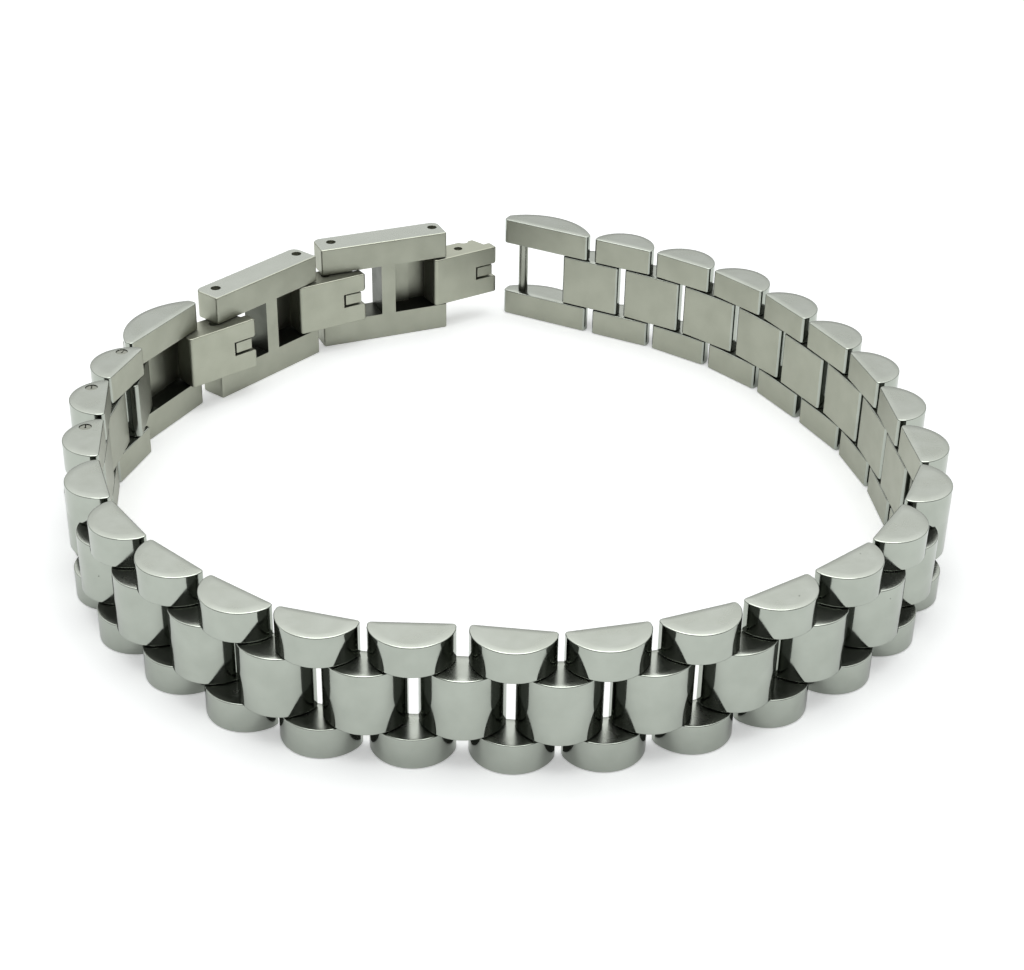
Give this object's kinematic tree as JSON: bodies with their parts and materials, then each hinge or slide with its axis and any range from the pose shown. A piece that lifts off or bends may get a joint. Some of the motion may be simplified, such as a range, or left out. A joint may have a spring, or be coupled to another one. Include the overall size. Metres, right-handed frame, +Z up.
{
  "type": "link watch bracelet",
  "caption": "Steel link bracelet of half-round links on upright pins, standing open on its edge, with a folding clasp whose hook tongues seat on cross bars and are held by small latches.",
  "frame": {"origin": "centre of the bounding box of the open bracelet, on the surface that it stands on", "axes": "+Z up along every hinge pin, across the band's width; +Y from the front of the loop to the clasp opening at the back; +X to the right seen from the front"},
  "size_m": [0.0834, 0.089, 0.012],
  "materials": {
    "link_steel": "polished half-round faces, satin flats towards the wrist",
    "end_link_steel": "polished outer faces, satin flats",
    "bar_steel": "polished turned bar",
    "clasp_steel": "fine satin brushed"
  },
  "bodies": {
    "catch_end_link": {"catch_end_link": "end_link_steel", "catch_bar": "bar_steel"},
    "centre_link_01": {"centre_link_01": "link_steel"},
    "outer_link_01": {"outer_link_01": "link_steel"},
    "centre_link_02": {"centre_link_02": "link_steel"},
    "outer_link_02": {"outer_link_02": "link_steel"},
    "centre_link_03": {"centre_link_03": "link_steel"},
    "outer_link_03": {"outer_link_03": "link_steel"},
    "centre_link_04": {"centre_link_04": "link_steel"},
    "outer_link_04": {"outer_link_04": "link_steel"},
    "centre_link_05": {"centre_link_05": "link_steel"},
    "outer_link_05": {"outer_link_05": "link_steel"},
    "centre_link_06": {"centre_link_06": "link_steel"},
    "outer_link_06": {"outer_link_06": "link_steel"},
    "centre_link_07": {"centre_link_07": "link_steel"},
    "outer_link_07": {"outer_link_07": "link_steel"},
    "centre_link_08": {"centre_link_08": "link_steel"},
    "outer_link_08": {"outer_link_08": "link_steel"},
    "centre_link_09": {"centre_link_09": "link_steel"},
    "outer_link_09": {"outer_link_09": "link_steel"},
    "centre_link_10": {"centre_link_10": "link_steel"},
    "outer_link_10": {"outer_link_10": "link_steel"},
    "centre_link_11": {"centre_link_11": "link_steel"},
    "outer_link_11": {"outer_link_11": "link_steel"},
    "centre_link_12": {"centre_link_12": "link_steel"},
    "outer_link_12": {"outer_link_12": "link_steel"},
    "centre_link_13": {"centre_link_13": "link_steel"},
    "outer_link_13": {"outer_link_13": "link_steel"},
    "centre_link_14": {"centre_link_14": "link_steel"},
    "outer_link_14": {"outer_link_14": "link_steel"},
    "centre_link_15": {"centre_link_15": "link_steel"},
    "outer_link_15": {"outer_link_15": "link_steel"},
    "centre_link_16": {"centre_link_16": "link_steel"},
    "outer_link_16": {"outer_link_16": "link_steel"},
    "centre_link_17": {"centre_link_17": "link_steel"},
    "outer_link_17": {"outer_link_17": "link_steel"},
    "centre_link_18": {"centre_link_18": "link_steel"},
    "outer_link_18": {"outer_link_18": "link_steel"},
    "centre_link_19": {"centre_link_19": "link_steel"},
    "outer_link_19": {"outer_link_19": "link_steel"},
    "centre_link_20": {"centre_link_20": "link_steel"},
    "outer_link_20": {"outer_link_20": "link_steel"},
    "centre_link_21": {"centre_link_21": "link_steel"},
    "outer_link_21": {"outer_link_21": "link_steel"},
    "centre_link_22": {"centre_link_22": "link_steel"},
    "outer_link_22": {"outer_link_22": "link_steel"},
    "centre_link_23": {"centre_link_23": "link_steel"},
    "outer_link_23": {"outer_link_23": "link_steel"},
    "centre_link_24": {"centre_link_24": "link_steel"},
    "outer_link_24": {"outer_link_24": "link_steel"},
    "centre_link_25": {"centre_link_25": "link_steel"},
    "clasp_end_link": {"clasp_end_link": "end_link_steel"},
    "hook_tongue_1": {"hook_tongue_1": "clasp_steel"},
    "clasp_frame_1": {"clasp_frame_1": "clasp_steel"},
    "hook_tongue_2": {"hook_tongue_2": "clasp_steel"},
    "clasp_frame_2": {"clasp_frame_2": "clasp_steel"},
    "hook_tongue_3": {"hook_tongue_3": "clasp_steel"},
    "latch_1": {"latch_1": "clasp_steel"},
    "latch_2": {"latch_2": "clasp_steel"},
    "latch_3": {"latch_3": "clasp_steel"}
  },
  "joints": [
    {"name": "tongue_1_knuckle", "type": "hinge", "parent": "clasp_end_link", "child": "hook_tongue_1", "pos_m": [-0.03397, 0.01824, 0.006], "axis": [0, 0, 1], "range_deg": [-68, 35]},
    {"name": "frame_1_bar", "type": "hinge", "parent": "hook_tongue_1", "child": "clasp_frame_1", "pos_m": [-0.03107, 0.02227, 0.006], "axis": [0, 0, -1], "range_deg": [-60, 12]},
    {"name": "tongue_2_knuckle", "type": "hinge", "parent": "clasp_frame_1", "child": "hook_tongue_2", "pos_m": [-0.02336, 0.03179, 0.006], "axis": [0, 0, 1], "range_deg": [-70, 35]},
    {"name": "frame_2_bar", "type": "hinge", "parent": "hook_tongue_2", "child": "clasp_frame_2", "pos_m": [-0.01981, 0.03525, 0.006], "axis": [0, 0, -1], "range_deg": [-60, 12]},
    {"name": "tongue_3_knuckle", "type": "hinge", "parent": "clasp_frame_2", "child": "hook_tongue_3", "pos_m": [-0.00853, 0.04003, 0.006], "axis": [0, 0, 1], "range_deg": [-90, 2]},
    {"name": "latch_1_pin", "type": "hinge", "parent": "hook_tongue_1", "child": "latch_1", "pos_m": [-0.03119, 0.01994, 0.006], "axis": [0, 0, -1], "range_deg": [0, 5], "stiffness_Nm_per_rad": 0.01},
    {"name": "latch_2_pin", "type": "hinge", "parent": "hook_tongue_2", "child": "latch_2", "pos_m": [-0.02033, 0.03297, 0.006], "axis": [0, 0, -1], "range_deg": [0, 5], "stiffness_Nm_per_rad": 0.01},
    {"name": "latch_3_pin", "type": "hinge", "parent": "hook_tongue_3", "child": "latch_3", "pos_m": [-0.00552, 0.04127, 0.006], "axis": [0, 0, -1], "range_deg": [0, 5], "stiffness_Nm_per_rad": 0.01},
    {"name": "link_hinge_01", "type": "hinge", "parent": "centre_link_01", "child": "catch_end_link", "pos_m": [0.00881, 0.03997, 0.006], "axis": [0, 0, -1], "range_deg": [-20, 20]},
    {"name": "link_hinge_02", "type": "hinge", "parent": "outer_link_01", "child": "centre_link_01", "pos_m": [0.01234, 0.03809, 0.006], "axis": [0, 0, 1], "range_deg": [-20, 20]},
    {"name": "link_hinge_03", "type": "hinge", "parent": "centre_link_02", "child": "outer_link_01", "pos_m": [0.01587, 0.03621, 0.006], "axis": [0, 0, -1], "range_deg": [-15, 24]},
    {"name": "link_hinge_04", "type": "hinge", "parent": "outer_link_02", "child": "centre_link_02", "pos_m": [0.01924, 0.03406, 0.006], "axis": [0, 0, 1], "range_deg": [-24, 15]},
    {"name": "link_hinge_05", "type": "hinge", "parent": "centre_link_03", "child": "outer_link_02", "pos_m": [0.02244, 0.03165, 0.006], "axis": [0, 0, -1], "range_deg": [-14, 26]},
    {"name": "link_hinge_06", "type": "hinge", "parent": "outer_link_03", "child": "centre_link_03", "pos_m": [0.02536, 0.02893, 0.006], "axis": [0, 0, 1], "range_deg": [-26, 14]},
    {"name": "link_hinge_07", "type": "hinge", "parent": "centre_link_04", "child": "outer_link_03", "pos_m": [0.02799, 0.02591, 0.006], "axis": [0, 0, -1], "range_deg": [-14, 26]},
    {"name": "link_hinge_08", "type": "hinge", "parent": "outer_link_04", "child": "centre_link_04", "pos_m": [0.03028, 0.02263, 0.006], "axis": [0, 0, 1], "range_deg": [-26, 14]},
    {"name": "link_hinge_09", "type": "hinge", "parent": "centre_link_05", "child": "outer_link_04", "pos_m": [0.03222, 0.01913, 0.006], "axis": [0, 0, -1], "range_deg": [-18, 21]},
    {"name": "link_hinge_10", "type": "hinge", "parent": "outer_link_05", "child": "centre_link_05", "pos_m": [0.03407, 0.01558, 0.006], "axis": [0, 0, 1], "range_deg": [-21, 18]},
    {"name": "link_hinge_11", "type": "hinge", "parent": "centre_link_06", "child": "outer_link_05", "pos_m": [0.03582, 0.01199, 0.006], "axis": [0, 0, -1], "range_deg": [-14, 26]},
    {"name": "link_hinge_12", "type": "hinge", "parent": "outer_link_06", "child": "centre_link_06", "pos_m": [0.03719, 0.00823, 0.006], "axis": [0, 0, 1], "range_deg": [-25, 14]},
    {"name": "link_hinge_13", "type": "hinge", "parent": "centre_link_07", "child": "outer_link_06", "pos_m": [0.03816, 0.00435, 0.006], "axis": [0, 0, -1], "range_deg": [-15, 24]},
    {"name": "link_hinge_14", "type": "hinge", "parent": "outer_link_07", "child": "centre_link_07", "pos_m": [0.03882, 0.0004, 0.006], "axis": [0, 0, 1], "range_deg": [-24, 15]},
    {"name": "link_hinge_15", "type": "hinge", "parent": "centre_link_08", "child": "outer_link_07", "pos_m": [0.03916, -0.00358, 0.006], "axis": [0, 0, -1], "range_deg": [-20, 20]},
    {"name": "link_hinge_16", "type": "hinge", "parent": "outer_link_08", "child": "centre_link_08", "pos_m": [0.03951, -0.00757, 0.006], "axis": [0, 0, 1], "range_deg": [-20, 20]},
    {"name": "link_hinge_17", "type": "hinge", "parent": "centre_link_09", "child": "outer_link_08", "pos_m": [0.03986, -0.01155, 0.006], "axis": [0, 0, -1], "range_deg": [-6, 33]},
    {"name": "link_hinge_18", "type": "hinge", "parent": "outer_link_09", "child": "centre_link_09", "pos_m": [0.03927, -0.01551, 0.006], "axis": [0, 0, 1], "range_deg": [-33, 2]},
    {"name": "link_hinge_19", "type": "hinge", "parent": "centre_link_10", "child": "outer_link_09", "pos_m": [0.03777, -0.01922, 0.006], "axis": [0, 0, -1], "range_deg": [-2, 24]},
    {"name": "link_hinge_20", "type": "hinge", "parent": "outer_link_10", "child": "centre_link_10", "pos_m": [0.03599, -0.02279, 0.006], "axis": [0, 0, 1], "range_deg": [-24, 2]},
    {"name": "link_hinge_21", "type": "hinge", "parent": "centre_link_11", "child": "outer_link_10", "pos_m": [0.03393, -0.02622, 0.006], "axis": [0, 0, -1], "range_deg": [-2, 29]},
    {"name": "link_hinge_22", "type": "hinge", "parent": "outer_link_11", "child": "centre_link_11", "pos_m": [0.03136, -0.02929, 0.006], "axis": [0, 0, 1], "range_deg": [-28, 2]},
    {"name": "link_hinge_23", "type": "hinge", "parent": "centre_link_12", "child": "outer_link_11", "pos_m": [0.02834, -0.03191, 0.006], "axis": [0, 0, -1], "range_deg": [-2, 23]},
    {"name": "link_hinge_24", "type": "hinge", "parent": "outer_link_12", "child": "centre_link_12", "pos_m": [0.02519, -0.03437, 0.006], "axis": [0, 0, 1], "range_deg": [-23, 2]},
    {"name": "link_hinge_25", "type": "hinge", "parent": "centre_link_13", "child": "outer_link_12", "pos_m": [0.02191, -0.03667, 0.006], "axis": [0, 0, -1], "range_deg": [-1, 26]},
    {"name": "link_hinge_26", "type": "hinge", "parent": "outer_link_13", "child": "centre_link_13", "pos_m": [0.01841, -0.03861, 0.006], "axis": [0, 0, 1], "range_deg": [-25, 2]},
    {"name": "link_hinge_27", "type": "hinge", "parent": "centre_link_14", "child": "outer_link_13", "pos_m": [0.01473, -0.04017, 0.006], "axis": [0, 0, -1], "range_deg": [-2, 24]},
    {"name": "link_hinge_28", "type": "hinge", "parent": "outer_link_14", "child": "centre_link_14", "pos_m": [0.01094, -0.04144, 0.006], "axis": [0, 0, 1], "range_deg": [-24, 2]},
    {"name": "link_hinge_29", "type": "hinge", "parent": "outer_link_14", "child": "centre_link_15", "pos_m": [0.00705, -0.04241, 0.006], "axis": [0, 0, 1], "range_deg": [-2, 30]},
    {"name": "link_hinge_30", "type": "hinge", "parent": "centre_link_15", "child": "outer_link_15", "pos_m": [0.00306, -0.04265, 0.006], "axis": [0, 0, -1], "range_deg": [-30, 2]},
    {"name": "link_hinge_31", "type": "hinge", "parent": "outer_link_15", "child": "centre_link_16", "pos_m": [-0.00091, -0.04216, 0.006], "axis": [0, 0, 1], "range_deg": [-2, 17]},
    {"name": "link_hinge_32", "type": "hinge", "parent": "centre_link_16", "child": "outer_link_16", "pos_m": [-0.0049, -0.04189, 0.006], "axis": [0, 0, -1], "range_deg": [-17, 2]},
    {"name": "link_hinge_33", "type": "hinge", "parent": "outer_link_16", "child": "centre_link_17", "pos_m": [-0.0089, -0.04182, 0.006], "axis": [0, 0, 1], "range_deg": [-2, 27]},
    {"name": "link_hinge_34", "type": "hinge", "parent": "centre_link_17", "child": "outer_link_17", "pos_m": [-0.01285, -0.04122, 0.006], "axis": [0, 0, -1], "range_deg": [-27, 2]},
    {"name": "link_hinge_35", "type": "hinge", "parent": "outer_link_17", "child": "centre_link_18", "pos_m": [-0.0167, -0.04012, 0.006], "axis": [0, 0, 1], "range_deg": [-2, 30]},
    {"name": "link_hinge_36", "type": "hinge", "parent": "centre_link_18", "child": "outer_link_18", "pos_m": [-0.02028, -0.03834, 0.006], "axis": [0, 0, -1], "range_deg": [-30, 4]},
    {"name": "link_hinge_37", "type": "hinge", "parent": "outer_link_18", "child": "centre_link_19", "pos_m": [-0.02347, -0.03593, 0.006], "axis": [0, 0, 1], "range_deg": [-4, 22]},
    {"name": "link_hinge_38", "type": "hinge", "parent": "centre_link_19", "child": "outer_link_19", "pos_m": [-0.02654, -0.03336, 0.006], "axis": [0, 0, -1], "range_deg": [-23, 5]},
    {"name": "link_hinge_39", "type": "hinge", "parent": "outer_link_19", "child": "centre_link_20", "pos_m": [-0.02946, -0.03063, 0.006], "axis": [0, 0, 1], "range_deg": [-5, 26]},
    {"name": "link_hinge_40", "type": "hinge", "parent": "centre_link_20", "child": "outer_link_20", "pos_m": [-0.03209, -0.02761, 0.006], "axis": [0, 0, -1], "range_deg": [-26, 14]},
    {"name": "link_hinge_41", "type": "hinge", "parent": "outer_link_20", "child": "centre_link_21", "pos_m": [-0.03438, -0.02434, 0.006], "axis": [0, 0, 1], "range_deg": [-11, 28]},
    {"name": "link_hinge_42", "type": "hinge", "parent": "centre_link_21", "child": "outer_link_21", "pos_m": [-0.0362, -0.02077, 0.006], "axis": [0, 0, -1], "range_deg": [-28, 12]},
    {"name": "link_hinge_43", "type": "hinge", "parent": "outer_link_21", "child": "centre_link_22", "pos_m": [-0.0375, -0.01699, 0.006], "axis": [0, 0, 1], "range_deg": [-14, 26]},
    {"name": "link_hinge_44", "type": "hinge", "parent": "centre_link_22", "child": "outer_link_22", "pos_m": [-0.0384, -0.01309, 0.006], "axis": [0, 0, -1], "range_deg": [-26, 14]},
    {"name": "link_hinge_45", "type": "hinge", "parent": "outer_link_22", "child": "centre_link_23", "pos_m": [-0.03889, -0.00912, 0.006], "axis": [0, 0, 1], "range_deg": [-20, 20]},
    {"name": "link_hinge_46", "type": "hinge", "parent": "centre_link_23", "child": "outer_link_23", "pos_m": [-0.03937, -0.00515, 0.006], "axis": [0, 0, -1], "range_deg": [-20, 20]},
    {"name": "link_hinge_47", "type": "hinge", "parent": "outer_link_23", "child": "centre_link_24", "pos_m": [-0.03986, -0.00118, 0.006], "axis": [0, 0, 1], "range_deg": [-8, 31]},
    {"name": "link_hinge_48", "type": "hinge", "parent": "centre_link_24", "child": "outer_link_24", "pos_m": [-0.03951, 0.0028, 0.006], "axis": [0, 0, -1], "range_deg": [-32, 8]},
    {"name": "link_hinge_49", "type": "hinge", "parent": "outer_link_24", "child": "centre_link_25", "pos_m": [-0.03834, 0.00663, 0.006], "axis": [0, 0, 1], "range_deg": [-38, 2]},
    {"name": "link_hinge_50", "type": "hinge", "parent": "centre_link_25", "child": "clasp_end_link", "pos_m": [-0.03841, 0.01063, 0.006], "axis": [0, 0, -1], "range_deg": [-47, 1]}
  ]
}
